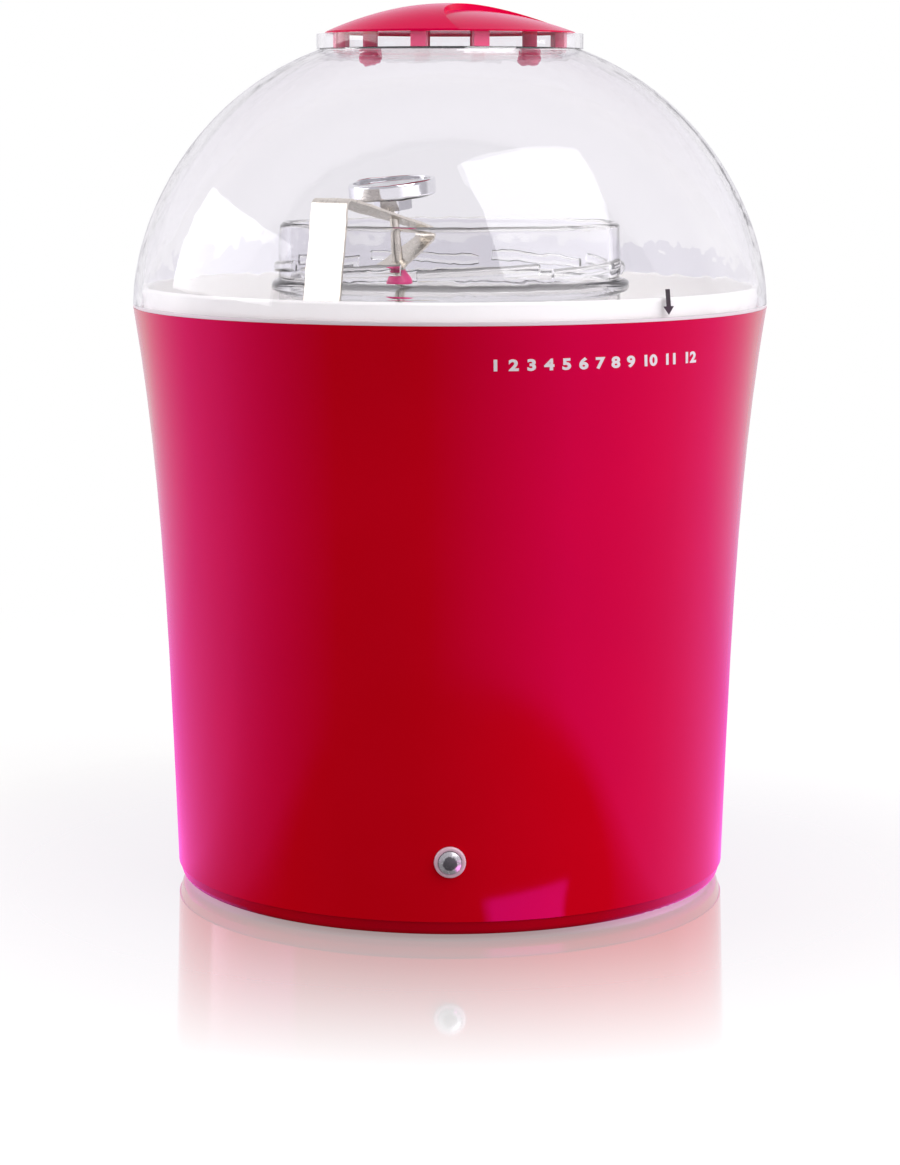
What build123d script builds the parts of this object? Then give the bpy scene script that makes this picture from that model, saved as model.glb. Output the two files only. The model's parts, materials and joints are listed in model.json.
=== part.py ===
from build123d import *
import os
from math import pi, radians, sin, sqrt, tan

# A one-jar yogurt maker: a flared red housing with a heated white well, a glass jar with a dial
# thermometer clipped to its neck, and a clear dome whose arrow is turned to a number on the housing.
# Millimetres. +Z is up, the front faces -Y, and the origin is under the middle on the table.

# ---- driving sizes: housing and dome ----
shell_height = 196.5
rim_radius = 107.0
base_radius = 94.0
shell_taper = 0.030
flare_power = 3.6
shell_wall = 2.4
seam_height = 6.0
dome_rise = 91.0
dome_side_power = 2.31
dome_top_power = 1.76
dome_wall = 2.2
platform_radius = 44.7
platform_height = 89.3
platform_dish = 4.8
knob_radius = 41.9
knob_rise = 10.1

# ---- driving sizes: well and jar ----
collar_rise = 7.0
liner_wall = 2.2
ledge_drop = 7.5
well_floor = 38.0
jar_radius = 68.2
jar_height = 186.2
jar_wall = 4.0
neck_radius = 57.9
neck_length = 32.0
shoulder_length = 22.0
well_gap = 4.0

# ---- driving sizes: thermometer ----
clip_side_angle = 41.0
dial_radius = 14.3
dial_depth = 5.5
stem_radius = 1.7
stem_length = 126.0
stem_offset = 28.2
stem_tilt = 7.0
clip_width = 15.8
clip_sheet = 0.8

# ---- driving sizes: power button ----
button_height = 25.8
bezel_radius = 5.1
button_radius = 3.65
button_stroke = 1.5
board_sheet = 1.6

# ---- driving sizes: base and fixings ----
foot_radius = 7.0
foot_ring = 70.0
base_clearance = 1.2
base_plate = 2.4
post_ring = 66.0
post_radius = 4.0
screw_radius = 1.5
grommet_height = 22.0
cord_radius = 3.5
terminal_front = 50.0
terminal_step = 7.5
wire_radius = 1.1

# ---- clearances ----
slip = 0.05
snug = 0.1
loose = 0.4
body_gap = 0.3
thread_gap = 0.02


# ---- worked out from them ----
radial = Rot(0, 0, -90 - clip_side_angle)
rim_top = shell_height
ring_thickness = 0.95
ring_bottom = rim_top + slip
ring_top = ring_bottom + ring_thickness
dome_bottom = ring_top + slip
dome_inner = rim_radius - dome_wall
platform_top = dome_bottom + platform_height
platform_floor = platform_top - platform_dish
plate_bottom = platform_floor - dome_wall
ledge_top = rim_top - ledge_drop
deck_top = ledge_top + liner_wall
collar_top = rim_top + collar_rise
well_radius = jar_radius + well_gap
floor_underside = well_floor - liner_wall
jar_bottom = well_floor + body_gap
jar_top = jar_bottom + jar_height
base_plate_top = base_clearance + base_plate


def shell_radius(height):
    """Outer radius of the housing: a straight taper with a flare that grows towards the rim."""
    flare = rim_radius - base_radius - shell_taper * shell_height
    return base_radius + shell_taper * height + flare * (height / shell_height) ** flare_power


def dome_radius(height, inset=0.0):
    """Radius of the dome's surface at a height above its edge, moved inwards by the inset."""
    share = min(height / (dome_rise - inset), 1.0)
    return (rim_radius - inset) * (1 - share**dome_top_power) ** (1 / dome_side_power)


def dome_height(radius, inset=0.0):
    """Height above the dome's edge at a radius, the inverse of dome_radius."""
    share = (1 - (radius / (rim_radius - inset)) ** dome_side_power) ** (1 / dome_top_power)
    return (dome_rise - inset) * share


def steps(first, last, count):
    """Evenly spaced values from first to last."""
    return [first + (last - first) * i / (count - 1) for i in range(count)]


# ---- shape helpers ----
STANDING = (Align.CENTER, Align.CENTER, Align.MIN)


def turned(*lines):
    """A solid turned about Z from a closed outline of (radius, height) lines."""
    edges = [edge for line in lines for edge in line.edges()]
    return revolve(Plane.XZ * make_face(edges), Axis.Z)


def turned_outline(points, radii=0.0):
    """A solid turned about Z from corner points, each corner rounded by its own radius."""
    return turned(FilletPolyline(*points, radius=radii, close=True))


def disc(radius, bottom, top):
    """A plain disc about Z."""
    return Pos(0, 0, bottom) * Cylinder(radius, top - bottom, align=STANDING)


def ring(outer, inner, bottom, top):
    """A flat ring about Z."""
    return disc(outer, bottom, top) - disc(inner, bottom - 1, top + 1)


def block(x, y, z):
    """A box from its (low, high) pairs."""
    size = (x[1] - x[0], y[1] - y[0], z[1] - z[0])
    return Pos(x[0], y[0], z[0]) * Box(*size, align=(Align.MIN, Align.MIN, Align.MIN))


def along_y(part, height):
    """Stand a part made about Z along Y, its +Z end to the front, at a height."""
    return Pos(0, 0, height) * Rot(90, 0, 0) * part


def around(count, radius, first_angle=0.0):
    """Places evenly spaced on a circle about Z."""
    return [Rot(0, 0, first_angle + i * 360 / count) * Pos(radius, 0, 0) for i in range(count)]


def pan_screw(radius, length, head_radius, head_height):
    """A cross-head screw with its tip up and its head's underside at the origin."""
    shank = disc(radius, 0, length - radius)
    tip = Pos(0, 0, length - radius) * Cone(radius, radius * 0.3, radius, align=STANDING)
    head = disc(head_radius, -head_height, 0)
    head = chamfer(head.edges().group_by(Axis.Z)[0], head_height * 0.3)
    slot = Pos(0, 0, -head_height) * Box(head_radius * 1.1, radius * 0.4, head_height)
    return head + shank + tip - slot - Rot(0, 0, 90) * slot


parts = {}


# ---- housing ----
def make_outer_shell():
    heights = steps(seam_height, shell_height, 9)
    outer = Spline(*[(shell_radius(z), z) for z in heights])
    inner = Spline(*[(shell_radius(z) - shell_wall, z) for z in heights])
    top = Line(outer @ 1, inner @ 1)
    bottom = Line(outer @ 0, inner @ 0)
    shell = turned(outer, top, inner, bottom)
    shelf_bottom = ledge_top - 2.5
    shelf_edge = shell_radius(shelf_bottom) - shell_wall + 1.0
    shelf_inner = ledge_inner_radius()
    shelf = turned_outline(
        [
            (shelf_inner, shelf_bottom),
            (shelf_edge, shelf_bottom - 4.0),
            (shelf_edge, ledge_top),
            (shelf_inner, ledge_top),
        ],
        0.0,
    )
    shell = shell + shelf
    shell -= along_y(Cylinder(bezel_radius + snug, 2 * rim_radius), button_height).intersect(
        block((-rim_radius, rim_radius), (-2 * rim_radius, 0), (0, shell_height))
    )
    grommet_hole = Pos(0, shell_radius(grommet_height), grommet_height) * Rot(90, 0, 0) * Cylinder(
        cord_radius + 2.0 + snug, 20
    )
    return shell - grommet_hole


def ledge_inner_radius():
    return shell_radius(ledge_top) - shell_wall - 4.5


def base_edge_radius():
    return shell_radius(seam_height) - 0.35


def make_base_cover():
    edge = base_edge_radius()
    lip_outer = shell_radius(seam_height) - shell_wall - snug
    lip_inner = lip_outer - 2.0
    tray = turned_outline(
        [
            (0, base_clearance),
            (edge - 1.2, base_clearance),
            (edge, seam_height),
            (lip_outer, seam_height),
            (lip_outer, seam_height + 7.0),
            (lip_inner, seam_height + 7.0),
            (lip_inner, base_plate_top),
            (0, base_plate_top),
        ],
        [0, 2.6, 0, 0, 0.5, 0.5, 2.0, 0],
    )
    cover = tray
    for place in around(4, post_ring, 45):
        cover += place * disc(post_radius + 2.2, base_plate_top - 0.5, post_bottom())
        cover -= place * disc(screw_radius + snug, 0, post_bottom() + 1)
        cover -= place * disc(screw_head_radius() + loose, 0, screw_seat())
    for place in around(4, foot_ring):
        cover -= place * disc(foot_radius + snug, 0, base_clearance + 0.8)
        cover -= place * disc(2.2, 0, base_plate_top + 1)
    for place in around(16, 38.0, 11.25):
        cover -= place * Box(20, 2.6, 20)
    for place in bracket_screw_places():
        cover += place * disc(2.6, base_plate_top - 0.5, bracket_floor())
        cover -= place * disc(1.2 + thread_gap, base_plate_top, bracket_floor() + 1)
    return cover


def post_bottom():
    return base_plate_top + 5.4


def screw_head_radius():
    return screw_radius * 1.9


def screw_seat():
    return base_clearance + 3.6


def make_feet():
    foot = disc(foot_radius, 0, base_clearance + 0.8)
    foot = fillet(foot.edges().group_by(Axis.Z)[0], 0.6)
    plug = disc(2.1, base_clearance, base_plate_top + 0.1)
    barb = disc(2.9, base_plate_top + 0.05, base_plate_top + 1.2)
    return [place * (foot + plug + barb) for place in around(4, foot_ring)]


def make_base_screws():
    screw = pan_screw(screw_radius, 14.0, screw_head_radius(), 2.2)
    return [place * Pos(0, 0, screw_seat()) * screw for place in around(4, post_ring, 45)]


# ---- heated well ----
def make_liner():
    collar_outer = dome_inner - 0.6
    collar_foot = shell_radius(ledge_top) - shell_wall - loose
    bottom_outer = well_radius + liner_wall - 1.0
    liner = turned_outline(
        [
            (0, floor_underside),
            (bottom_outer, floor_underside),
            (well_radius + liner_wall, ledge_top),
            (collar_foot, ledge_top),
            (collar_outer, collar_top),
            (collar_outer - liner_wall, collar_top),
            (collar_foot - liner_wall, deck_top),
            (well_radius, deck_top),
            (bottom_outer - liner_wall, well_floor),
            (0, well_floor),
        ],
        [0, 5.0, 2.0, 0.3, 0.9, 0.9, 1.5, 3.5, 3.0, 0],
    )
    for place in around(4, post_ring, 45):
        liner += place * disc(post_radius, post_bottom(), floor_underside + 0.5)
        liner -= place * disc(screw_radius + thread_gap, post_bottom() - 1, post_bottom() + 13.0)
    for place in around(3, post_ring, 90):
        liner += place * disc(3.2, retainer_top(), floor_underside + 0.5)
        liner -= place * disc(1.2 + thread_gap, retainer_top() - 1, floor_underside - 0.6)
    return liner


plate_radius = 58.0
plate_thickness = 1.6
element_thickness = 1.8
pad_thickness = 4.0
retainer_sheet = 1.0


def plate_underside():
    return floor_underside - plate_thickness


def element_bottom():
    return plate_underside() - element_thickness


def retainer_top():
    return element_bottom() - pad_thickness


def sensor_slot(bottom, top):
    """The opening under the heater plate that holds the thermostat and the fuse."""
    half_slot = extrude(SlotCenterToCenter(28, 20), top - bottom)
    return Pos(8, 0, bottom) * half_slot


def make_heater_plate():
    return disc(plate_radius, plate_underside(), floor_underside)


def make_heating_element():
    """A flat ring with the grooves of its winding underneath."""
    band = ring(plate_radius - 5, plate_radius - 26, element_bottom(), plate_underside())
    grooves = [
        ring(r + 0.5, r - 0.5, element_bottom() - 1, element_bottom() + 0.5)
        for r in steps(plate_radius - 22, plate_radius - 9, 5)
    ]
    for groove in grooves:
        band -= groove
    return band


def make_insulation_pad():
    pad = disc(plate_radius - 2, retainer_top(), element_bottom())
    return pad - sensor_slot(retainer_top() - 1, element_bottom() + 1)


def make_heater_retainer():
    bottom = retainer_top() - retainer_sheet
    sheet = disc(plate_radius - 1, bottom, retainer_top())
    for angle in (90, 210, 330):
        ear = block((plate_radius - 8, post_ring), (-4, 4), (bottom, retainer_top()))
        sheet += Rot(0, 0, angle) * (ear + Pos(post_ring, 0) * disc(4.0, bottom, retainer_top()))
        sheet -= Rot(0, 0, angle) * Pos(post_ring, 0) * disc(1.2 + snug, bottom - 1, retainer_top() + 1)
    return sheet - sensor_slot(bottom - 1, retainer_top() + 1)


def make_retainer_screws():
    screw = pan_screw(1.2, 7.0, 2.4, 1.6)
    seat = retainer_top() - retainer_sheet
    return [place * Pos(0, 0, seat) * screw for place in around(3, post_ring, 90)]


def make_thermostat():
    cap = disc(8.0, plate_underside() - 3.4, plate_underside())
    cap = fillet(cap.edges().group_by(Axis.Z)[-1], 0.8)
    base = disc(7.0, plate_underside() - 9.0, plate_underside() - 3.4)
    blades = [
        block((x - 0.4, x + 0.4), (-2.4, 2.4), (plate_underside() - 15.0, plate_underside() - 9.0))
        for x in (-3.6, 3.6)
    ]
    return cap + base + blades


def make_thermal_fuse():
    body = Rot(90, 0, 0) * Cylinder(2.0, 11.0)
    body = fillet(body.edges(), 0.5)
    leads = Rot(90, 0, 0) * Cylinder(0.5, 17.0)
    return Pos(15.0, 0, plate_underside() - 2.0) * (body + leads)


# ---- mains inlet and wiring ----
def make_cord_grommet():
    """A plain bush in the back wall, with no cord in it."""
    wall_outer = shell_radius(grommet_height)
    wall_inner = wall_outer - shell_wall
    neck = cord_radius + 2.0
    outline = [
        (cord_radius, wall_outer + 2.0),
        (neck + 2.0, wall_outer + 2.0),
        (neck + 2.0, wall_outer + 0.5),
        (neck, wall_outer + 0.5),
        (neck, wall_inner - 0.9),
        (neck + 1.6, wall_inner - 0.9),
        (neck + 1.2, wall_inner - 3.0),
        (cord_radius, wall_inner - 3.0),
    ]
    bush = turned_outline(outline, [0.6, 0.8, 0, 0, 0, 0, 0.5, 0.4])
    return Pos(0, 0, grommet_height) * Rot(-90, 0, 0) * bush


def make_terminal_block():
    back = terminal_front + 12
    body = block((-12, 12), (terminal_front, back), (base_plate_top, base_plate_top + 12))
    for place in terminal_places():
        body -= place * disc(1.6 + snug, base_plate_top + 6, base_plate_top + 13)
        body -= place * Pos(0, 0, terminal_height()) * Rot(90, 0, 0) * Cylinder(1.3, 20)
    return body


def terminal_places():
    return [Pos(x, terminal_front + 6) for x in (-terminal_step, 0, terminal_step)]


def terminal_height():
    return base_plate_top + 3.5


def make_terminal_screws():
    screw = disc(1.6, base_plate_top + 6, base_plate_top + 11)
    slot = Pos(0, 0, base_plate_top + 11) * Box(4, 0.6, 1.4)
    return [place * (screw - slot) for place in terminal_places()]


def make_wires():
    """Three insulated leads across the base: mains to the board, and the board to the heater."""
    block_front = terminal_front - 0.1
    board_rear = board_back() + 0.1
    low = terminal_height()
    mains = [
        [
            (side * terminal_step, block_front, low),
            (side * terminal_step, block_front - 8, low),
            (side * 22, 24, low),
            (side * 27, 0, low),
            (side * 22, -26, low),
            (side * 10, -44, low + 3),
            (side * 7, -58, 16),
            (side * 7, board_rear, 16),
        ]
        for side in (-1, 1)
    ]
    sensor = [
        [
            (side * 3.6, 0, plate_underside() - 15.1),
            (side * 3.6, 0, 14),
            (side * 5, -14, 9),
            (side * 5, -36, 10),
            (side * 3.5, -58, 22),
            (side * 3.5, board_rear, 22),
        ]
        for side in (-1, 1)
    ]
    routes = mains + sensor
    return [wire(route) for route in routes]


def wire(route):
    """A round wire along straight runs joined by arcs as large as the runs allow."""
    points = [Vector(*point) for point in route]
    radii = []
    for before, corner, after in zip(points, points[1:], points[2:]):
        turn = (corner - before).get_angle(after - corner)
        shorter = min((corner - before).length, (after - corner).length)
        radii.append(0.45 * shorter / tan(radians(turn / 2)))
    path = FilletPolyline(*points, radius=radii)
    start = Plane(origin=points[0], z_dir=points[1] - points[0])
    return sweep(start * Circle(wire_radius), path=path)


# ---- power button ----
def front_wall():
    return shell_radius(button_height)


def make_button_bezel():
    """A clear bush in the housing's front, made about Z with +Z to the front."""
    outer = front_wall() + 0.9
    back = front_wall() - shell_wall - 2.0
    outline = [
        (button_radius + snug, outer),
        (bezel_radius, outer),
        (bezel_radius, back + 1.5),
        (bezel_radius + 1.2, back + 1.5),
        (bezel_radius + 1.2, back),
        (button_radius + snug, back),
    ]
    return along_y(turned_outline(outline, [0.4, 0.7, 0, 0, 0, 0]), button_height)


def cap_back():
    return front_wall() - shell_wall - 2.0 - body_gap


def make_button_cap():
    """The clear lens that is pressed: a domed nose, a hollow for the lamp and a flange behind."""
    nose = front_wall() + 1.3
    nose_rise = 1.1
    nose_radius = (button_radius**2 + nose_rise**2) / (2 * nose_rise)
    ball = Pos(0, 0, nose + nose_rise - nose_radius) * Sphere(nose_radius)
    cap = disc(button_radius, cap_back(), nose + nose_rise) & (ball + disc(button_radius, 0, nose))
    flange = disc(button_radius + 0.9, cap_back() - 1.2, cap_back())
    hollow = disc(2.4, cap_back() - 2, front_wall() - 0.4)
    return along_y(cap + flange - hollow, button_height)


def make_button_reflector():
    outer = 2.4
    top = front_wall() - 0.4
    bottom = cap_back() - 1.2
    sleeve = ring(outer, 1.9, bottom, top)
    return along_y(sleeve, button_height)


def make_switch_plunger():
    front = cap_back() - 1.2
    body = ring(4.2, 2.9, front - 7.6, front)
    return along_y(body, button_height)


def plunger_back():
    return cap_back() - 1.2 - 7.6


def housing_front():
    return plunger_back() + 3.0


def board_face():
    return housing_front() - 10.5


def make_switch_housing():
    half = 6.5
    back = board_face()
    body = Pos(0, 0, back) * Box(2 * half, 2 * half, housing_front() - back, align=STANDING)
    body = chamfer(body.edges().filter_by(Axis.Z), 0.8)
    body -= disc(4.2 + snug, back + 3.0, housing_front() + 1)
    return along_y(body, button_height)


def make_switch_spring():
    """The return spring, drawn at its pressed length so that the stroke stays clear of it."""
    bottom = board_face() + 3.25
    length = plunger_back() - button_stroke - 0.5 - bottom
    coil = Helix(pitch=length / 2.5, height=length, radius=3.4)
    wire_face = Plane(origin=coil @ 0, z_dir=coil % 0) * Circle(0.22)
    return along_y(Pos(0, 0, bottom) * sweep(wire_face, path=coil), button_height)


def make_indicator_led():
    tip = front_wall() - 0.4 - button_stroke - body_gap
    bulb = disc(1.5, tip - 5.0, tip - 1.5) + Pos(0, 0, tip - 1.5) * Sphere(1.5)
    rim = disc(1.8, tip - 5.6, tip - 5.0)
    stalk = disc(1.0, board_face() + 3.0, tip - 5.6)
    return along_y(bulb + rim + stalk, button_height)


def board_back():
    """Y of the circuit board's rear face."""
    return board_sheet - board_face()


def bracket_floor():
    return base_plate_top + 3.0


def bracket_screw_places():
    return [Pos(x, board_back() + 6.5) for x in (-14, 14)]


def board_screw_places():
    return [Pos(x, -board_face(), button_height + 2.2) for x in (-14, 14)]


def make_switch_board():
    board = block((-18, 18), (-board_face(), board_back()), (button_height - 13.8, button_height + 6.7))
    for place in board_screw_places():
        board -= place * Rot(90, 0, 0) * Cylinder(1.2 + snug, 10)
    return board


def make_board_bracket():
    """A foot on the base with two uprights that carry the circuit board."""
    back = board_back()
    bracket = block((-18, 18), (back, back + 10), (bracket_floor(), bracket_floor() + 2))
    for x in (-14, 14):
        bracket += block((x - 4, x + 4), (back, back + 3.5), (bracket_floor(), button_height + 6.2))
    for place in bracket_screw_places():
        bracket -= place * disc(1.2 + snug, 0, bracket_floor() + 3)
    for place in board_screw_places():
        bracket -= place * Rot(-90, 0, 0) * disc(1.2 + thread_gap, 0, 8)
    return bracket


def make_board_screws():
    down = Pos(0, 0, bracket_floor() + 2) * Rot(180, 0, 0)
    feet = [place * down * pan_screw(1.2, 4.6, 2.3, 1.5) for place in bracket_screw_places()]
    board = [place * Rot(-90, 0, 0) * pan_screw(1.2, 4.6, 2.3, 1.5) for place in board_screw_places()]
    return feet + board


# ---- glass jar ----
lug_count = 8
lug_height = 3.6
lug_depth = 1.5
lug_slope = 3.0
bead_radius = neck_radius + 2.8


def make_glass_jar():
    shoulder_top = jar_top - neck_length
    shoulder_bottom = shoulder_top - shoulder_length
    bead_top = jar_top - 19.0
    bead_bottom = bead_top - 4.2
    outer = [
        (0, jar_bottom + 1.6),
        (jar_radius - 18, jar_bottom + 1.6),
        (jar_radius - 16, jar_bottom),
        (jar_radius, jar_bottom),
        (jar_radius, shoulder_bottom),
        (neck_radius, shoulder_top),
        (neck_radius, bead_bottom),
        (bead_radius, bead_bottom),
        (bead_radius, bead_top),
        (neck_radius, bead_top),
        (neck_radius, jar_top),
    ]
    inner = [
        (neck_radius - jar_wall, jar_top),
        (neck_radius - jar_wall, shoulder_top - 1.0),
        (jar_radius - jar_wall, shoulder_bottom - 1.0),
        (jar_radius - jar_wall, jar_bottom + 6.5),
        (0, jar_bottom + 6.5),
    ]
    outer_radii = [0, 1.0, 1.0, 9.0, 14.0, 10.0, 0.8, 1.8, 1.8, 0.8, 1.9]
    inner_radii = [1.9, 12.0, 12.0, 9.0, 0]
    jar = turned_outline(outer + inner, outer_radii + inner_radii)
    for place in around(lug_count, 0, 9.5 - 90):
        jar += place * make_lug()
    return jar


def make_lug():
    """One raised thread bar on the neck, sloping up to the right as seen from outside."""
    half_sweep = 180 / lug_count - 2.5
    middle = jar_top - 14.6
    outline = FilletPolyline(
        (neck_radius - 1.0, middle - lug_height / 2),
        (neck_radius + lug_depth, middle - lug_height / 2),
        (neck_radius + lug_depth, middle + lug_height / 2),
        (neck_radius - 1.0, middle + lug_height / 2),
        radius=[0, 1.3, 1.3, 0],
        close=True,
    )
    bar = revolve(Plane.XZ * make_face(outline.edges()), Axis.Z, 2 * half_sweep)
    bar = Rot(0, 0, -half_sweep) * bar
    return Pos(0, 0, middle) * Rot(lug_slope, 0, 0) * Pos(0, 0, -middle) * bar


# ---- thermometer, made upright on its own axis with its seat on the clip at the origin ----
leg_top = (neck_radius + 0.9, jar_top + 8.9)
nose = (stem_offset - 20.0, leg_top[1] - 11.6)
arm_slope = (leg_top[1] - nose[1]) / (leg_top[0] - nose[0])
ferrule_radius = 2.1
ferrule_height = 1.5
hub_height = 4.0
arm_at_stem = nose[1] + arm_slope * (stem_offset - nose[0]) + clip_sheet / 2
seat_height = arm_at_stem + ferrule_radius * (arm_slope + tan(radians(stem_tilt))) + body_gap
thermometer = radial * Pos(stem_offset, 0, seat_height) * Rot(0, stem_tilt, 0)
case_bottom = ferrule_height + hub_height
case_top = case_bottom + dial_depth


def make_thermometer_clip():
    """A bent steel strip: a leg outside the neck, an arm over it and a fold that holds the stem."""
    leg_foot = (neck_radius + 6.6, jar_top - 34.0)
    fold_end = (stem_offset + 2.0, nose[1] - 11.7)
    path = FilletPolyline(leg_foot, leg_top, nose, fold_end, radius=[2.0, 2.2])
    strip = extrude(Plane.XZ * trace(path, clip_sheet), clip_width / 2, both=True)
    half = clip_width / 2
    wide_from = leg_top[0] - 15.0
    tip = nose[0] - 4.0
    plan = Polyline(
        (leg_foot[0] + 5, half),
        (wide_from, half),
        (tip, half * 0.4),
        (tip, -half * 0.4),
        (wide_from, -half),
        (leg_foot[0] + 5, -half),
        close=True,
    )
    strip &= Pos(0, 0, leg_foot[1] - 5) * extrude(make_face(plan.edges()), 60)
    return radial * strip - thermometer * Cylinder(stem_radius + slip, 60)


def make_thermometer_hub():
    nut = extrude(RegularPolygon(5.5, 6, major_radius=False), hub_height)
    nut = chamfer(nut.edges().filter_by(GeomType.LINE).group_by(Axis.Z)[-1], 0.5)
    hub = Pos(0, 0, ferrule_height) * nut + disc(ferrule_radius, 0, ferrule_height)
    return thermometer * (hub - disc(stem_radius, -1, case_bottom + 1))


def make_thermometer_stem():
    """A thin closed tube, open only into the dial case."""
    tube = disc(stem_radius, -stem_length, case_bottom)
    tube = fillet(tube.edges().group_by(Axis.Z)[0], stem_radius * 0.8)
    return thermometer * (tube - disc(stem_radius - 0.4, 1 - stem_length, case_bottom + 1))


def make_bimetal_coil():
    """The coil that turns the pointer, fixed to the stem's closed end."""
    height = 24.0
    coil = Helix(pitch=2.0, height=height, radius=0.85)
    face = Plane(origin=coil @ 0, z_dir=coil % 0) * Circle(0.2)
    return thermometer * Pos(0, 0, 1.4 - stem_length) * sweep(face, path=coil)


def make_thermometer_case():
    lip = dial_radius - 1.6
    outline = [
        (stem_radius - 0.4, case_bottom),
        (dial_radius, case_bottom),
        (dial_radius, case_top),
        (lip, case_top),
        (lip, case_top - 0.8),
        (dial_radius - 0.8, case_top - 0.8),
        (dial_radius - 0.8, case_bottom + 0.8),
        (stem_radius - 0.4, case_bottom + 0.8),
    ]
    return thermometer * turned_outline(outline, [0, 1.2, 0.9, 0.3, 0, 0, 0.4, 0])


def make_dial_face():
    top = case_bottom + 1.5
    return thermometer * ring(dial_radius - 1.3, 1.2, case_bottom + 0.8, top)


def make_dial_lens():
    top = case_top - 0.8
    return thermometer * disc(dial_radius - 0.85, top - 1.0, top)


def make_pointer():
    bottom = case_bottom + 2.1
    needle = Polyline((-3.5, 0.7), (-3.5, -0.7), (10.5, 0), close=True)
    hand = extrude(make_face(needle.edges()), 0.3) + Cylinder(1.3, 0.7, align=STANDING)
    return thermometer * Pos(0, 0, bottom) * (hand - Cylinder(0.4, 5))


def make_pointer_shaft():
    return thermometer * disc(0.4, 28.0 - stem_length, case_bottom + 2.9)


def make_stem_stop():
    """A soft cone pushed on to the stem just under the clip."""
    top = -17.4
    outline = [(stem_radius, top), (1.95, top), (4.5, top - 5.2), (4.5, top - 6.2), (stem_radius, top - 6.2)]
    return thermometer * turned_outline(outline, [0, 0.1, 2.0, 0.4, 0])


# ---- dome ----
def make_glide_ring():
    return ring(rim_radius - 0.1, rim_radius - shell_wall + 0.2, ring_bottom, ring_top)


neck_inset = 1.2
post_inset = 15.2
peg_inset = 4.1
post_hole_ring = knob_radius - post_inset
peg_ring = knob_radius - peg_inset


def make_dome_lid():
    neck = platform_radius - neck_inset
    outer = dome_line(0.0, neck)
    inner = dome_line(dome_wall, dome_radius(plate_bottom - dome_bottom, dome_wall))
    platform = Polyline(
        outer @ 1,
        (platform_radius, (outer @ 1).Y),
        (platform_radius, platform_top),
        (knob_radius + loose, platform_top),
        (knob_radius + loose, platform_floor),
        (0, platform_floor),
        (0, plate_bottom),
        inner @ 1,
    )
    dome = turned(outer, platform, inner, Line(inner @ 0, outer @ 0))
    for place in around(2, post_hole_ring):
        dome -= place * disc(2.5 + snug, plate_bottom - 1, platform_floor + 1)
    return dome


def dome_line(inset, end_radius):
    """The dome's outline from its edge up to a radius, through points closer together at the top."""
    share = steps(0, 1, 10)
    end_height = dome_height(end_radius, inset)
    heights = [end_height * sin(s * pi / 2) for s in share]
    points = [(dome_radius(z, inset), dome_bottom + z) for z in heights[:-1]]
    return Spline(*points, (end_radius, dome_bottom + end_height))


scoop_radius = 34.2
scoop_angle = -37.15
ridge_half_width = 6.2
scoop_depth = 2.1
hollow_rise = 4.5
hollow_ball = 200.0


def cap_surface(apex, edge_rise):
    """A solid under a shallow spherical cap of the knob's radius, down to its flat underside."""
    low = knob_underside()
    crown = low + apex
    edge = low + edge_rise
    sag = crown - edge
    ball_radius = (knob_radius**2 + sag**2) / (2 * sag)
    return disc(knob_radius, low, crown + 1) & (Pos(0, 0, crown - ball_radius) * Sphere(ball_radius))


def make_lid_knob():
    cap = cap_surface(knob_rise, 0.7)
    low_cap = cap_surface(knob_rise - scoop_depth, 0.5)
    low = knob_underside()
    for turn in (0, 180):
        scoop = disc(scoop_radius, low - 1, low + knob_rise + 2)
        column = Rot(0, 0, turn + scoop_angle) * Pos(scoop_radius + ridge_half_width, 0) * scoop
        cap -= column - low_cap
    under = Pos(0, 0, low + hollow_rise - hollow_ball) * Sphere(hollow_ball)
    cap -= under & disc(knob_radius - 2.5, low - 1, low + 6)
    for angle in (15, 75, 105, 165, 195, 255, 285, 345):
        cap += Rot(0, 0, angle - 90) * Pos(peg_ring, 0) * peg()
    for place in around(2, post_hole_ring):
        cap += place * disc(2.5, plate_bottom - 0.1, low + 3.6)
        cap += place * staked_head()
    return cap


def knob_underside():
    return platform_top + 0.1


def peg():
    """A post under the cap's edge, up into the cap where its hollow is highest over the post."""
    half = 1.4
    hollow = hollow_rise - hollow_ball + sqrt(hollow_ball**2 - (peg_ring - half) ** 2)
    return block((-half, half), (-2.5, 2.5), (platform_floor, knob_underside() + hollow + 0.09))


def staked_head():
    """The melted end that holds a post under the dome's top plate."""
    head = disc(3.8, plate_bottom - 3.0, plate_bottom)
    return fillet(head.edges().group_by(Axis.Z)[0], 2.2)


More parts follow.
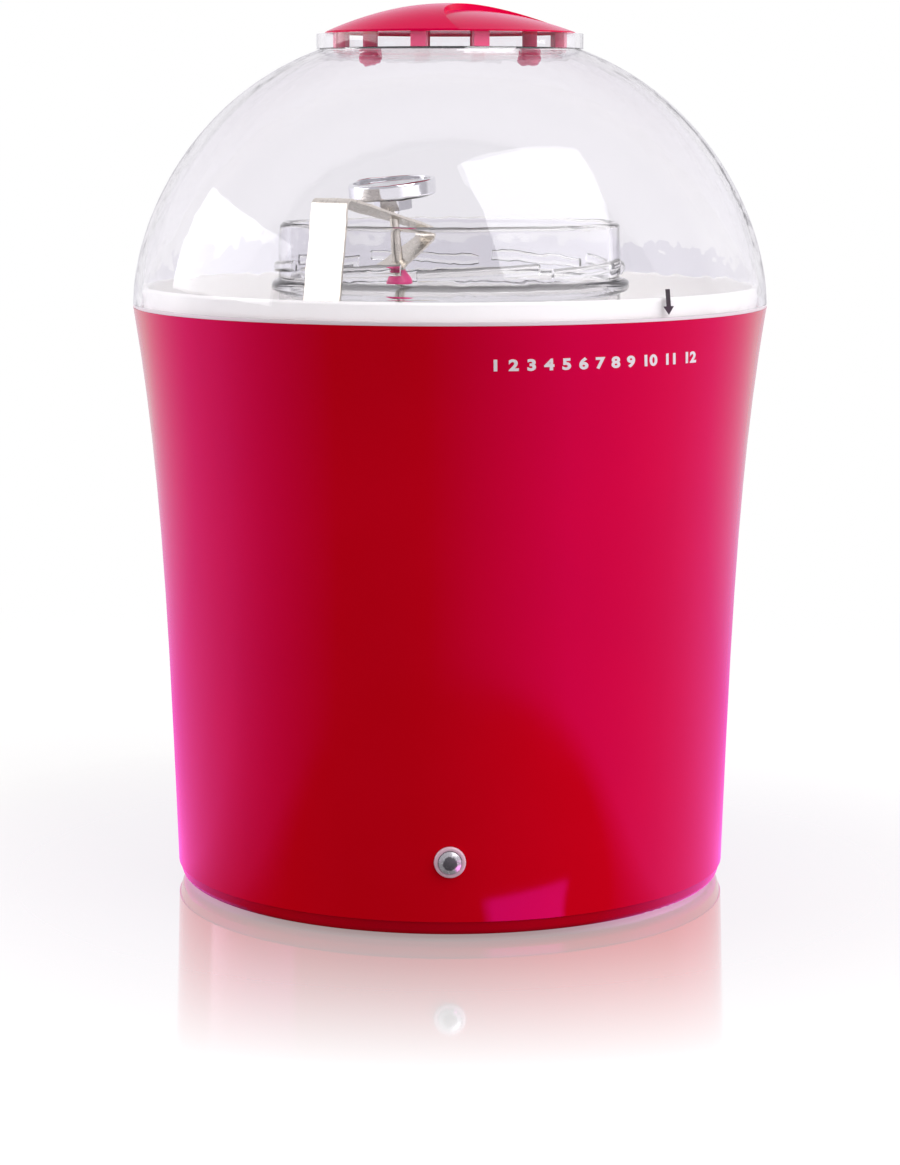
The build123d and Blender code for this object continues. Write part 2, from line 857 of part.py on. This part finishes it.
nodes = {
    "outer_shell": make_outer_shell,
    "base_cover": make_base_cover,
    "rubber_feet": make_feet,
    "base_screws": make_base_screws,
    "well_liner": make_liner,
    "heater_plate": make_heater_plate,
    "heating_element": make_heating_element,
    "insulation_pad": make_insulation_pad,
    "heater_retainer": make_heater_retainer,
    "retainer_screws": make_retainer_screws,
    "thermostat": make_thermostat,
    "thermal_fuse": make_thermal_fuse,
    "cord_grommet": make_cord_grommet,
    "terminal_block": make_terminal_block,
    "terminal_screws": make_terminal_screws,
    "internal_wires": make_wires,
    "button_bezel": make_button_bezel,
    "button_cap": make_button_cap,
    "button_reflector": make_button_reflector,
    "switch_plunger": make_switch_plunger,
    "switch_housing": make_switch_housing,
    "switch_spring": make_switch_spring,
    "indicator_led": make_indicator_led,
    "switch_board": make_switch_board,
    "board_bracket": make_board_bracket,
    "board_screws": make_board_screws,
    "glass_jar": make_glass_jar,
    "thermometer_clip": make_thermometer_clip,
    "thermometer_hub": make_thermometer_hub,
    "thermometer_stem": make_thermometer_stem,
    "bimetal_coil": make_bimetal_coil,
    "thermometer_case": make_thermometer_case,
    "dial_face": make_dial_face,
    "dial_lens": make_dial_lens,
    "pointer": make_pointer,
    "pointer_shaft": make_pointer_shaft,
    "stem_stop": make_stem_stop,
    "glide_ring": make_glide_ring,
    "dome_lid": make_dome_lid,
    "lid_knob": make_lid_knob,
}

os.makedirs("parts", exist_ok=True)
for name, make in nodes.items():
    shape = make()
    solids = [solid for piece in (shape if isinstance(shape, list) else [shape]) for solid in piece.solids()]
    export_step(Compound(solids) if len(solids) > 1 else solids[0], f"parts/{name}.step")
    print(name, len(solids), round(sum(solid.volume for solid in solids), 1))
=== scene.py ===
import json
from math import cos, radians, sin

import bmesh
import bpy
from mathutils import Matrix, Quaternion, Vector
from mathutils.bvhtree import BVHTree


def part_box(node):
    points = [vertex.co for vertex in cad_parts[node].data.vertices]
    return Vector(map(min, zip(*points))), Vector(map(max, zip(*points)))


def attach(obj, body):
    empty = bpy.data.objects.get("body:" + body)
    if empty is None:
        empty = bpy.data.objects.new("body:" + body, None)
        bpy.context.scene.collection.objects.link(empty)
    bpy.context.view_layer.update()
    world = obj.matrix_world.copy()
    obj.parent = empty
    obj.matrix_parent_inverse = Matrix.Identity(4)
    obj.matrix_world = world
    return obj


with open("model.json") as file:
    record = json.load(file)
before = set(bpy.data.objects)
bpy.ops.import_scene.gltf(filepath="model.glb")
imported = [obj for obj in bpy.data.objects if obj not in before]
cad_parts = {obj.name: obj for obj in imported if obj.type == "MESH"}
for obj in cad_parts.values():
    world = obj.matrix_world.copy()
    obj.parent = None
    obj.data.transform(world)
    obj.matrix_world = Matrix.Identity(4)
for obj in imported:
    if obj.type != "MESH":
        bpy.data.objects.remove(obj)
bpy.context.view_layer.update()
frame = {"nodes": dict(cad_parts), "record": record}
nodes = frame["nodes"]
scene = bpy.context.scene
MM = 0.001


# ---- camera ----
CAMERA_DISTANCE = 1.034  # metres before the axis
CAMERA_HEIGHT = 0.2614
CAMERA_PITCH = 8.82  # degrees below level
CAMERA_LENS = 93.89  # mm
SENSOR_WIDTH = 36  # mm
CLIP_START, CLIP_END = 0.05, 30


def make_camera():
    data = bpy.data.cameras.new("view_camera")
    data.sensor_width = SENSOR_WIDTH
    data.lens = CAMERA_LENS
    data.clip_start = CLIP_START
    data.clip_end = CLIP_END
    camera = bpy.data.objects.new("view_camera", data)
    camera.location = (0, -CAMERA_DISTANCE, CAMERA_HEIGHT)
    camera.rotation_euler = (radians(90 - CAMERA_PITCH), 0, 0)
    scene.collection.objects.link(camera)
    scene.camera = camera


make_camera()


# ---- node tree helpers ----
NOISE_LOW, NOISE_HIGH = 0.3, 0.7  # where nearly all of a noise texture's values lie
BLEND_FACTOR, BLEND_A, BLEND_B, BLEND_RESULT = 0, 6, 7, 2  # the colour sockets of a Mix node


class Tree:
    """A node tree with short calls that add a node and link it. A value may be a socket."""

    def __init__(self, tree):
        self.tree = tree
        tree.nodes.clear()

    def fill(self, socket, value):
        if isinstance(value, bpy.types.NodeSocket):
            self.tree.links.new(value, socket)
        else:
            socket.default_value = value

    def add(self, kind, **values):
        """A new node: inputs= gives its sockets by name or number, the rest are its settings."""
        node = self.tree.nodes.new(kind)
        inputs = values.pop("inputs", {})
        for key, value in values.items():
            setattr(node, key, value)
        for key, value in inputs.items():
            self.fill(node.inputs[key], value)
        return node

    def coords(self, kind="Object"):
        return self.add("ShaderNodeTexCoord").outputs[kind]

    def axes(self, vector):
        return self.add("ShaderNodeSeparateXYZ", inputs={0: vector}).outputs

    def length(self, vector):
        node = self.add("ShaderNodeVectorMath", operation="LENGTH", inputs={0: vector})
        return node.outputs["Value"]

    def minus(self, vector, other):
        node = self.add("ShaderNodeVectorMath", operation="SUBTRACT", inputs={0: vector, 1: other})
        return node.outputs[0]

    def scaled(self, vector, scale):
        return self.add("ShaderNodeMapping", inputs={"Vector": vector, "Scale": scale}).outputs[0]

    def noise(self, vector, scale, detail=2.0, roughness=0.5):
        inputs = {"Vector": vector, "Scale": scale, "Detail": detail, "Roughness": roughness}
        return self.add("ShaderNodeTexNoise", inputs=inputs).outputs["Fac"]

    def remap(self, value, low, high, to_low, to_high):
        """A value from low..high taken to to_low..to_high, and held there beyond them."""
        inputs = {
            "Value": value, "From Min": low, "From Max": high, "To Min": to_low, "To Max": to_high
        }
        return self.add("ShaderNodeMapRange", inputs=inputs).outputs[0]

    def spread(self, noise, low, high):
        """A noise's values stretched over low..high."""
        return self.remap(noise, NOISE_LOW, NOISE_HIGH, low, high)

    def maths(self, operation, a, b=0.0):
        return self.add("ShaderNodeMath", operation=operation, inputs={0: a, 1: b}).outputs[0]

    def blend(self, factor, a, b):
        """Colour a where factor is 0, b where it is 1."""
        node = self.add("ShaderNodeMix", data_type="RGBA")
        self.fill(node.inputs[BLEND_FACTOR], factor)
        for index, colour in ((BLEND_A, a), (BLEND_B, b)):
            plain = not isinstance(colour, bpy.types.NodeSocket)
            self.fill(node.inputs[index], rgb(*colour) if plain else colour)
        return node.outputs[BLEND_RESULT]

    def bump(self, height, distance, strength=1.0):
        inputs = {"Height": height, "Distance": distance, "Strength": strength}
        return self.add("ShaderNodeBump", inputs=inputs).outputs[0]

    def principled(self, **inputs):
        """A Principled shader's output: base_color=..., ior=... name its sockets."""
        named = {}
        for key, value in inputs.items():
            named[key.replace("_", " ").title().replace("Ior", "IOR")] = value
        return self.add("ShaderNodeBsdfPrincipled", inputs=named).outputs[0]

    def glow(self, colour, strength):
        inputs = {"Color": colour, "Strength": strength}
        return self.add("ShaderNodeEmission", inputs=inputs).outputs[0]

    def mixed(self, factor, a, b):
        """Shader a where factor is 0, b where it is 1."""
        return self.add("ShaderNodeMixShader", inputs={0: factor, 1: a, 2: b}).outputs[0]

    def output(self, shader):
        return self.add("ShaderNodeOutputMaterial", inputs={"Surface": shader})


def new_material(name):
    material = bpy.data.materials.new(name)
    material.use_nodes = True
    return material, Tree(material.node_tree)


def rgb(red, green, blue):
    return (red, green, blue, 1.0)


# ---- finishes ----
DRIFT_SCALE = 14  # a plastic's slow drift of colour
WEAR_SCALE = 55  # the patches where a plastic is a little duller
TONE_SCALE = 40  # a metal's slow drift of tone
LAMP_TINT = rgb(0.9, 0.9, 0.9)  # what clear plastic and glass let through from a lamp


def moulded(name, dark, light, roughness, grain=0.02, grain_scale=900, coat=0.0, **more):
    """Moulded plastic or rubber: a slow drift of colour, a fine grain and wear in the roughness.

    grain is the grain's depth in mm.
    """
    material, t = new_material(name)
    place = t.coords()
    drift = t.noise(place, DRIFT_SCALE, 3)
    fine = t.noise(place, grain_scale, 3, 0.6)
    colour = t.blend(t.spread(drift, 0, 1), dark, light)
    rough = t.spread(t.noise(place, WEAR_SCALE, 4), roughness * 0.85, roughness * 1.15)
    shader = t.principled(
        base_color=colour, roughness=rough, normal=t.bump(fine, grain * MM, 0.5),
        coat_weight=coat, coat_roughness=0.04, **more,
    )
    t.output(shader)
    return material


def metal(name, colour, roughness, streaks=(1, 1, 1), streak_scale=400, depth=0.004, drift=0.08):
    """Bare metal: brushed streaks in roughness and height, and a faint drift of tone.

    depth is the streaks' depth in mm.
    """
    material, t = new_material(name)
    place = t.coords()
    lines = t.noise(t.scaled(place, streaks), streak_scale, 4, 0.7)
    tone = t.noise(place, TONE_SCALE, 3)
    dull = tuple(c * (1 - drift) for c in colour)
    base = t.blend(t.spread(tone, 0, 1), dull, colour)
    rough = t.spread(lines, roughness * 0.7, roughness * 1.3)
    shader = t.principled(
        base_color=base, metallic=1.0, roughness=rough, normal=t.bump(lines, depth * MM, 0.6)
    )
    t.output(shader)
    return material


def clear(name, colour, ior, wave_scale, wave_depth):
    """Glass or clear plastic with a slow unevenness, wave_depth mm deep, in its surface.

    A lamp's light passes it as through a thin tint.
    """
    material, t = new_material(name)
    wave = t.noise(t.coords(), wave_scale, 2)
    shader = t.principled(
        base_color=rgb(*colour), roughness=0.0, ior=ior, transmission_weight=1.0,
        normal=t.bump(wave, wave_depth * MM),
    )
    passed = t.add("ShaderNodeBsdfTransparent", inputs={"Color": LAMP_TINT}).outputs[0]
    lamp = t.add("ShaderNodeLightPath").outputs["Is Shadow Ray"]
    t.output(t.mixed(lamp, shader, passed))
    return material


materials = {
    "red_plastic": moulded(
        "red_moulding", (0.66, 0.0, 0.006), (0.71, 0.0, 0.009), 0.11, 0.002, 420,
        specular_tint=rgb(1.0, 0.08, 0.85),
        sheen_weight=0.14, sheen_roughness=0.25, sheen_tint=rgb(1.0, 0.0, 0.7),
    ),
    "dark_red_plastic": moulded(
        "base_moulding", (0.54, 0.0, 0.006), (0.60, 0.0, 0.009), 0.18, 0.004, 500,
        specular_tint=rgb(1.0, 0.08, 0.85),
    ),
    "white_plastic": moulded(
        "well_moulding", (0.83, 0.82, 0.80), (0.87, 0.86, 0.85), 0.34, 0.006, 700
    ),
    "clear_plastic": clear("dome_plastic", (0.958, 0.953, 0.972), 1.46, 9, 0.004),
    "clear_glass": clear("jar_glass", (0.935, 0.932, 0.94), 1.26, 26, 0.05),
    "stainless": metal("brushed_sheet", (0.80, 0.75, 0.67), 0.30, (1, 1, 0.04), 900),
    "chrome_plate": metal("chrome", (0.86, 0.86, 0.88), 0.06, (1, 1, 1), 1400, 0.001, 0.04),
    "screw_steel": metal("zinc_steel", (0.62, 0.62, 0.64), 0.28, (1, 1, 1), 700),
    "aluminium_sheet": metal("rolled_aluminium", (0.80, 0.81, 0.82), 0.35, (1, 0.05, 1), 800),
    "black_rubber": moulded(
        "foot_rubber", (0.018, 0.018, 0.02), (0.03, 0.03, 0.032), 0.62, 0.02, 1200
    ),
    "magenta_silicone": moulded(
        "stop_silicone", (0.62, 0.01, 0.16), (0.72, 0.02, 0.2), 0.4, 0.01, 900
    ),
    "seal_silicone": moulded(
        "ring_silicone", (0.80, 0.72, 0.76), (0.86, 0.78, 0.82), 0.35, 0.004, 600
    ),
    "element_winding": moulded(
        "mica_winding", (0.32, 0.17, 0.06), (0.5, 0.3, 0.13), 0.55, 0.03, 500
    ),
    "felt_pad": moulded("glass_felt", (0.62, 0.58, 0.5), (0.8, 0.77, 0.7), 0.95, 0.2, 350),
    "black_plastic": moulded(
        "switch_plastic", (0.02, 0.02, 0.022), (0.035, 0.035, 0.038), 0.45, 0.01, 900
    ),
    "circuit_board": moulded(
        "solder_mask", (0.01, 0.12, 0.05), (0.02, 0.2, 0.08), 0.3, 0.004, 400
    ),
    "wire_sleeve": moulded("wire_pvc", (0.7, 0.7, 0.66), (0.78, 0.78, 0.74), 0.4, 0.006, 700),
    "dial_white": moulded("dial_enamel", (0.80, 0.79, 0.83), (0.86, 0.85, 0.89), 0.3, 0.002, 300),
    "pointer_black": moulded(
        "black_paint", (0.012, 0.012, 0.014), (0.02, 0.02, 0.022), 0.35, 0.002, 600
    ),
    "lamp_resin": moulded("lamp_resin", (0.30, 0.30, 0.33), (0.4, 0.4, 0.43), 0.12, 0.002, 500),
}
slot_of = {row["node"]: row["material_slot"] for row in frame["record"]["subparts"]}


def paint(name, material):
    """Gives a CAD node one material."""
    nodes[name].data.materials.clear()
    nodes[name].data.materials.append(material)


def make_knob_finish():
    """The lid's knob: vivid red above, paler where its posts go down through the lid's plate."""
    material, t = new_material("knob_moulding")
    place = t.coords()
    plate_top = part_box("dome_lid")[1].z
    posts = t.remap(t.axes(place)["Z"], plate_top - 0.3 * MM, plate_top + 0.1 * MM, 1.0, 0.0)
    drift = t.spread(t.noise(place, DRIFT_SCALE, 3), 0, 1)
    colour = t.blend(drift, (0.74, 0.0, 0.05), (0.80, 0.0, 0.07))
    colour = t.blend(posts, colour, (0.80, 0.10, 0.22))
    rough = t.spread(t.noise(place, WEAR_SCALE, 4), 0.14, 0.2)
    shader = t.principled(
        base_color=colour, roughness=rough,
        specular_ior_level=0.12, specular_tint=rgb(1.0, 0.1, 0.8),
        sheen_weight=0.18, sheen_roughness=0.3, sheen_tint=rgb(1.0, 0.0, 0.7),
        normal=t.bump(t.noise(place, 420, 3, 0.6), 0.002 * MM, 0.5),
    )
    t.output(shader)
    paint("lid_knob", material)


def make_bezel_finish():
    """The button's surround: glossy pale rose."""
    dark, light = (0.80, 0.50, 0.60), (0.88, 0.60, 0.70)
    bezel = moulded("bezel_finish", dark, light, 0.16, 0.002, 300, coat=0.6)
    paint("button_bezel", bezel)


def make_cap_finish():
    """The button's cap: silver, with painted shade in its middle for the dark lamp hole behind it.
    """
    painted_shade_radius, silver_from = 2.1 * MM, 2.5 * MM
    material, t = new_material("cap_finish")
    place = t.coords()
    low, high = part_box("button_cap")
    from_middle = t.scaled(t.minus(place, (low + high) / 2), (1, 0, 1))
    ripple = t.noise(place, 900, 3)
    radius = t.maths("ADD", t.length(from_middle), t.spread(ripple, -0.25 * MM, 0.25 * MM))
    ring = t.remap(radius, painted_shade_radius, silver_from, 0.0, 1.0)
    # the dark colour inside the silver ring is painted shade, standing for the dark lamp hole
    # behind the cap
    shader = t.principled(
        base_color=t.blend(ring, (0.12, 0.11, 0.125), (0.74, 0.72, 0.76)),
        metallic=t.remap(ring, 0, 1, 0.0, 0.35), roughness=t.spread(ripple, 0.18, 0.32),
        normal=t.bump(ripple, 0.02 * MM), coat_weight=0.8, coat_roughness=0.03,
    )
    t.output(shader)
    paint("button_cap", material)


for name in nodes:
    paint(name, materials[slot_of[name]])
make_knob_finish()
make_bezel_finish()
make_cap_finish()


# ---- printed marks ----
RAY_START = 0.3  # well outside the object
CAPITAL_SHARE = 0.72  # a figure's height as a share of the font's size

HOURS_HEIGHT = 0.1842  # the middle of the hours, above the floor
HOURS_START = radians(4.5)  # from the front towards +X
HOUR_STEP = radians(3.1)
WIDE_HOUR_STEP = radians(4.9)  # between the hours of two figures
FIGURE_HEIGHT = 3.4 * MM
FIGURE_THICKNESS = 0.08 * MM
FIGURE_LIFT = 0.03 * MM  # of the figure's middle, off the surface
FIGURE_BOLD = 0.20 * MM
FIGURE_WIDTH = 1.3  # times the font's own
FIGURE_LEAN = 0.25  # at the object's side; none at its front

ARROW_BEFORE = radians(1.5)  # short of the middle of its hour
ARROW_TIP, ARROW_SHOULDER, ARROW_TOP = 0.1984, 0.2011, 0.2064  # heights above the floor
ARROW_HEAD, ARROW_SHAFT = 2.3, 0.95  # half widths in mm
ARROW_SUNK, ARROW_PROUD = 0.03 * MM, 0.06 * MM


def surface(node):
    """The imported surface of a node, for rays."""
    mesh = nodes[node].data
    points = [v.co.copy() for v in mesh.vertices]
    return BVHTree.FromPolygons(points, [tuple(p.vertices) for p in mesh.polygons])


def on_side(tree, angle, height, lift):
    """A point just proud of a turned surface: angle from the front towards +X, and height."""
    out = Vector((sin(angle), -cos(angle), 0))
    hit, normal, _, _ = tree.ray_cast(out * RAY_START + Vector((0, 0, height)), -out)
    if normal.dot(out) < 0:
        normal = -normal
    return hit + normal * lift


def shown(name, build, material, body):
    """Makes a bmesh a piece that rides on a body, with a material of a slot."""
    bmesh.ops.recalc_face_normals(build, faces=build.faces)
    mesh = bpy.data.meshes.new(name)
    build.to_mesh(mesh)
    mesh.materials.append(material)
    piece = bpy.data.objects.new(name, mesh)
    scene.collection.objects.link(piece)
    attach(piece, body)


def figure_mesh(text):
    """A number's solid mesh, its middle at the origin, flat in XY."""
    curve = bpy.data.curves.new("mark", "FONT")
    curve.body = text
    curve.size = FIGURE_HEIGHT / CAPITAL_SHARE
    curve.align_x = "CENTER"
    curve.align_y = "CENTER"
    curve.extrude = FIGURE_THICKNESS / 2
    curve.offset = FIGURE_BOLD
    curve.resolution_u = 6
    holder = bpy.data.objects.new("mark", curve)
    scene.collection.objects.link(holder)
    bpy.context.view_layer.update()
    evaluated = holder.evaluated_get(bpy.context.evaluated_depsgraph_get())
    mesh = bpy.data.meshes.new_from_object(evaluated)
    bpy.data.objects.remove(holder)
    return mesh


def hour_angle(hour):
    """Where an hour's mark stands, from the front towards +X."""
    if hour < 10:
        return HOURS_START + hour * HOUR_STEP
    ten = HOURS_START + 9 * HOUR_STEP + (HOUR_STEP + WIDE_HOUR_STEP) / 2
    return ten + (hour - 10) * WIDE_HOUR_STEP


def make_hours():
    """The hours 1 to 12 printed round the housing under its rim."""
    tree = surface("outer_shell")
    whole = bmesh.new()
    for hour in range(1, 13):
        mesh = figure_mesh(str(hour))
        angle = hour_angle(hour)
        radius = on_side(tree, angle, HOURS_HEIGHT, 0).xy.length
        lean = FIGURE_LEAN * sin(angle)
        for v in mesh.vertices:
            turn = angle + (v.co.x * FIGURE_WIDTH - v.co.y * lean) / radius
            v.co = on_side(tree, turn, HOURS_HEIGHT + v.co.y, v.co.z + FIGURE_LIFT)
        whole.from_mesh(mesh)
    ink = moulded("number_ink", (0.86, 0.84, 0.85), (0.9, 0.88, 0.89), 0.4, 0.002, 900)
    shown("hour_numbers", whole, ink, "base")


def make_arrow():
    """The arrow printed on the dome's skirt, pointing down at hour 11 when the timer is at rest."""
    tree = surface("dome_lid")
    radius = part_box("dome_lid")[1].x
    middle = hour_angle(11) - ARROW_BEFORE
    outline = [
        (0, ARROW_TIP), (ARROW_HEAD, ARROW_SHOULDER),
        (ARROW_SHAFT, ARROW_SHOULDER), (ARROW_SHAFT, ARROW_TOP),
    ]
    outline += [(-x, z) for x, z in outline[:0:-1]]
    build = bmesh.new()
    back, front = (
        [build.verts.new(on_side(tree, middle + x * MM / radius, z, lift)) for x, z in outline]
        for lift in (-ARROW_SUNK, ARROW_PROUD)
    )
    build.faces.new(back[::-1])
    build.faces.new(front)
    for i in range(len(outline)):
        j = (i + 1) % len(outline)
        build.faces.new([back[i], back[j], front[j], front[i]])
    ink = moulded("arrow_ink", (0.035, 0.03, 0.035), (0.05, 0.045, 0.05), 0.4, 0.002, 900)
    shown("timer_arrow", build, ink, "dome")


make_hours()
make_arrow()


# ---- floor ----
# A reflection meets the floor and the room at a brightness of their own, so that the red housing
# and the chrome get the dark middle, bright sides and gleam that a studio's screens give them.
FLOOR_REACH = 6.0

SHINE_START, SHINE_END = 0.10, 0.232  # the floor's shine fades between these distances
SHINE_POWER = 1.3
SHINE_SHARE = 0.64
WHITE_START, WHITE_END = 0.3, 0.6  # beyond these it is plain white
FLOOR_MATT, FLOOR_GLOW = 0.28, 0.80
DIFFUSE_GLOW = 0.36  # what the floor throws on matt surfaces

SIDE_GLOW = 1.7  # in reflections: at the floor's sides,
FRONT_GLOW = 0.04  # before the object,
REAR_SHARE = 0.6  # and behind it, as a share of the sides
PATCH_MIDDLE, PATCH_REACH, PATCH_SOFT = (0, -0.225, 0), (0.215, 0.165), 0.10  # the dark oval
PATCH_SHARE = 0.04
GLEAM = 3.4
REAR_START, REAR_END = 0.25, 1.2  # the floor's tint turns to the room's between these

ROSE = (1.0, 0.20, 0.80)
NEAR_WHITE = (1.0, 0.98, 1.0)
REAR_GREY = (0.83, 0.81, 0.86)


def dark_patch(t, place):
    """1 inside a dark oval of floor before the object, 0 outside it, with a soft edge."""
    across, along = PATCH_REACH
    share = t.scaled(t.minus(place, PATCH_MIDDLE), (1 / across, 1 / along, 1))
    return t.remap(t.length(share), 1 - PATCH_SOFT, 1 + PATCH_SOFT, 1.0, 0.0)


def open_floor(t, way):
    """The floor's brightness by its bearing: dark in front, bright at the sides, less behind."""
    right = t.remap(way, radians(-8), radians(42), 0.0, SIDE_GLOW)
    left = t.remap(way, radians(-40), radians(-88), 0.0, SIDE_GLOW)
    behind = t.remap(t.maths("ABSOLUTE", way), radians(105), radians(160), 1.0, REAR_SHARE)
    front_and_sides = t.maths("ADD", t.maths("ADD", right, left), FRONT_GLOW)
    return t.maths("MULTIPLY", front_and_sides, behind)


def gleam(t, way, distance):
    """1 on a small four-sided patch of floor beside the base's front right, 0 elsewhere."""
    outer = t.remap(way, radians(9), radians(35), 0.136, 0.151)
    inside = t.remap(t.maths("SUBTRACT", outer, distance), 0.0, 0.004, 0.0, 1.0)
    clear_of_base = t.remap(distance, 0.103, 0.106, 0.0, 1.0)
    start = t.remap(way, radians(7.5), radians(10.5), 0.0, 1.0)
    limit = t.remap(distance, 0.105, 0.150, radians(26.5), radians(34.5))
    end = t.remap(t.maths("SUBTRACT", limit, way), 0.0, radians(1.5), 0.0, 1.0)
    between = t.maths("MULTIPLY", start, end)
    return t.maths("MULTIPLY", between, t.maths("MULTIPLY", inside, clear_of_base))


def mirrored_floor(t, place, distance):
    """How bright the floor is to a reflection."""
    axes = t.axes(place)
    way = t.maths("ARCTAN2", axes["X"], t.maths("MULTIPLY", axes["Y"], -1.0))
    patch = t.remap(dark_patch(t, place), 0, 1, 1.0, PATCH_SHARE)
    shaded = t.maths("MULTIPLY", open_floor(t, way), patch)
    return t.maths("ADD", shaded, t.maths("MULTIPLY", gleam(t, way, distance), GLEAM))


def seen_floor(t, distance):
    """The floor that the camera sees: glossy white, whose shine fades away from the object."""
    fade = t.remap(distance, SHINE_START, SHINE_END, 0.0, 1.0)
    share = t.remap(t.maths("POWER", fade, SHINE_POWER), 0, 1, SHINE_SHARE, 0.0)
    grey = rgb(FLOOR_MATT, FLOOR_MATT, FLOOR_MATT)
    matt = t.add("ShaderNodeBsdfDiffuse", inputs={"Color": grey}).outputs[0]
    glow = t.glow(rgb(1, 1, 1), FLOOR_GLOW)
    base = t.add("ShaderNodeAddShader", inputs={0: matt, 1: glow}).outputs[0]
    inputs = {"Color": rgb(1, 1, 1), "Roughness": 0.05}
    gloss = t.add("ShaderNodeBsdfGlossy", inputs=inputs).outputs[0]
    away = t.remap(distance, WHITE_START, WHITE_END, 0.0, 1.0)
    return t.mixed(away, t.mixed(share, base, gloss), t.glow(rgb(1, 1, 1), 1.0))


def bounced_floor(t, place, distance, path):
    """The floor that light and reflections meet: rose near the object in outer reflections."""
    glossy = path["Is Glossy Ray"]
    diffuse = t.maths("MULTIPLY", path["Is Diffuse Ray"], DIFFUSE_GLOW)
    plain = t.maths("ADD", diffuse, path["Is Transmission Ray"])
    mirrored = t.maths("MULTIPLY", mirrored_floor(t, place, distance), glossy)
    rear = t.remap(t.axes(place)["Y"], REAR_START, REAR_END, 0.0, 1.0)
    plain_tint = t.blend(glossy, NEAR_WHITE, t.blend(rear, NEAR_WHITE, REAR_GREY))
    outside = t.maths("MAXIMUM", t.maths("SUBTRACT", glossy, path["Transmission Depth"]), 0.0)
    tint = t.blend(outside, plain_tint, t.blend(rear, ROSE, REAR_GREY))
    return t.glow(tint, t.maths("MAXIMUM", plain, mirrored))


def make_floor():
    """A plain white floor, flat at height 0."""
    reach = FLOOR_REACH
    corners = [(-reach, -reach, 0), (reach, -reach, 0), (reach, reach, 0), (-reach, reach, 0)]
    mesh = bpy.data.meshes.new("floor")
    mesh.from_pydata(corners, [], [(0, 1, 2, 3)])
    floor = bpy.data.objects.new("floor", mesh)
    scene.collection.objects.link(floor)
    material, t = new_material("floor_gloss")
    place = t.coords()
    distance = t.length(place)
    path = t.add("ShaderNodeLightPath").outputs
    bounced = bounced_floor(t, place, distance, path)
    t.output(t.mixed(path["Is Camera Ray"], bounced, seen_floor(t, distance)))
    mesh.materials.append(material)


# ---- room and lamps ----
ROOM_DIFFUSE = (0.27, 0.265, 0.28)  # what the room throws on matt surfaces
ROOM_UNDER_DOME = (1.5, 1.45, 1.5)  # the same, through clear plastic or glass


def make_world():
    """A white room for the camera, darker in front and high up, where reflections show it."""
    world = bpy.data.worlds.new("white_room")
    scene.world = world
    world.use_nodes = True
    t = Tree(world.node_tree)
    path = t.add("ShaderNodeLightPath").outputs
    through = path["Is Transmission Ray"]
    way = t.axes(t.coords("Generated"))
    side = t.remap(way["X"], -0.3, 0.6, 0.0, 1.0)
    front = t.blend(side, (0.08, 0.07, 0.10), (0.30, 0.28, 0.33))
    front = t.blend(through, front, (0.62, 0.60, 0.63))
    high = t.remap(way["Z"], 0.25, 0.6, 0.0, 1.0)
    rear = t.blend(high, (0.85, 0.83, 0.88), (0.38, 0.31, 0.37))
    rear = t.blend(through, rear, (1.0, 0.985, 1.0))
    behind = t.remap(way["Y"], 0.25, 0.42, 0.0, 1.0)
    shiny = t.maths("MAXIMUM", path["Is Glossy Ray"], through)
    plain = t.blend(path["Is Diffuse Ray"], (1.0, 1.0, 1.0), ROOM_DIFFUSE)
    colour = t.blend(shiny, plain, t.blend(behind, front, rear))
    inside = t.maths("MINIMUM", through, path["Diffuse Depth"])
    colour = t.blend(inside, colour, ROOM_UNDER_DOME)
    background = t.add("ShaderNodeBackground", inputs={"Color": colour, "Strength": 1.0})
    t.add("ShaderNodeOutputWorld", inputs={"Surface": background.outputs[0]})


def soft_light(name, place, aim, size, power, roll=0.0, reflected=True):
    """A rectangular soft box: size is (width, height), power in watts, roll in degrees."""
    data = bpy.data.lights.new(name, "AREA")
    data.shape = "RECTANGLE"
    data.size, data.size_y = size
    data.energy = power
    light = bpy.data.objects.new(name, data)
    light.location = place
    light.rotation_mode = "QUATERNION"
    towards = (Vector(aim) - Vector(place)).to_track_quat("-Z", "Y")
    light.rotation_quaternion = towards @ Quaternion((0, 0, 1), radians(roll))
    scene.collection.objects.link(light)
    light.visible_camera = False
    light.visible_glossy = reflected
    light.visible_transmission = reflected


make_floor()
make_world()
soft_light("key_right", (0.667, -0.714, 1.107), (0, 0, 0.25), (1.0, 1.25), 11, roll=-9.5)
soft_light("side_right", (1.35, -0.36, 0.5), (0, 0, 0.12), (0.9, 1.1), 7.5, reflected=False)
soft_light("patch_left", (-1.25, 0.0, 0.60), (0, 0, 0.2), (1.25, 0.6), 5)
soft_light("fill_left", (-1.25, 0.0, 0.66), (0, 0, 0.2), (1.3, 0.85), 6, reflected=False)

scene.view_settings.view_transform = "Standard"
scene.view_settings.look = "None"
scene.view_settings.exposure = 0
scene.view_settings.gamma = 1
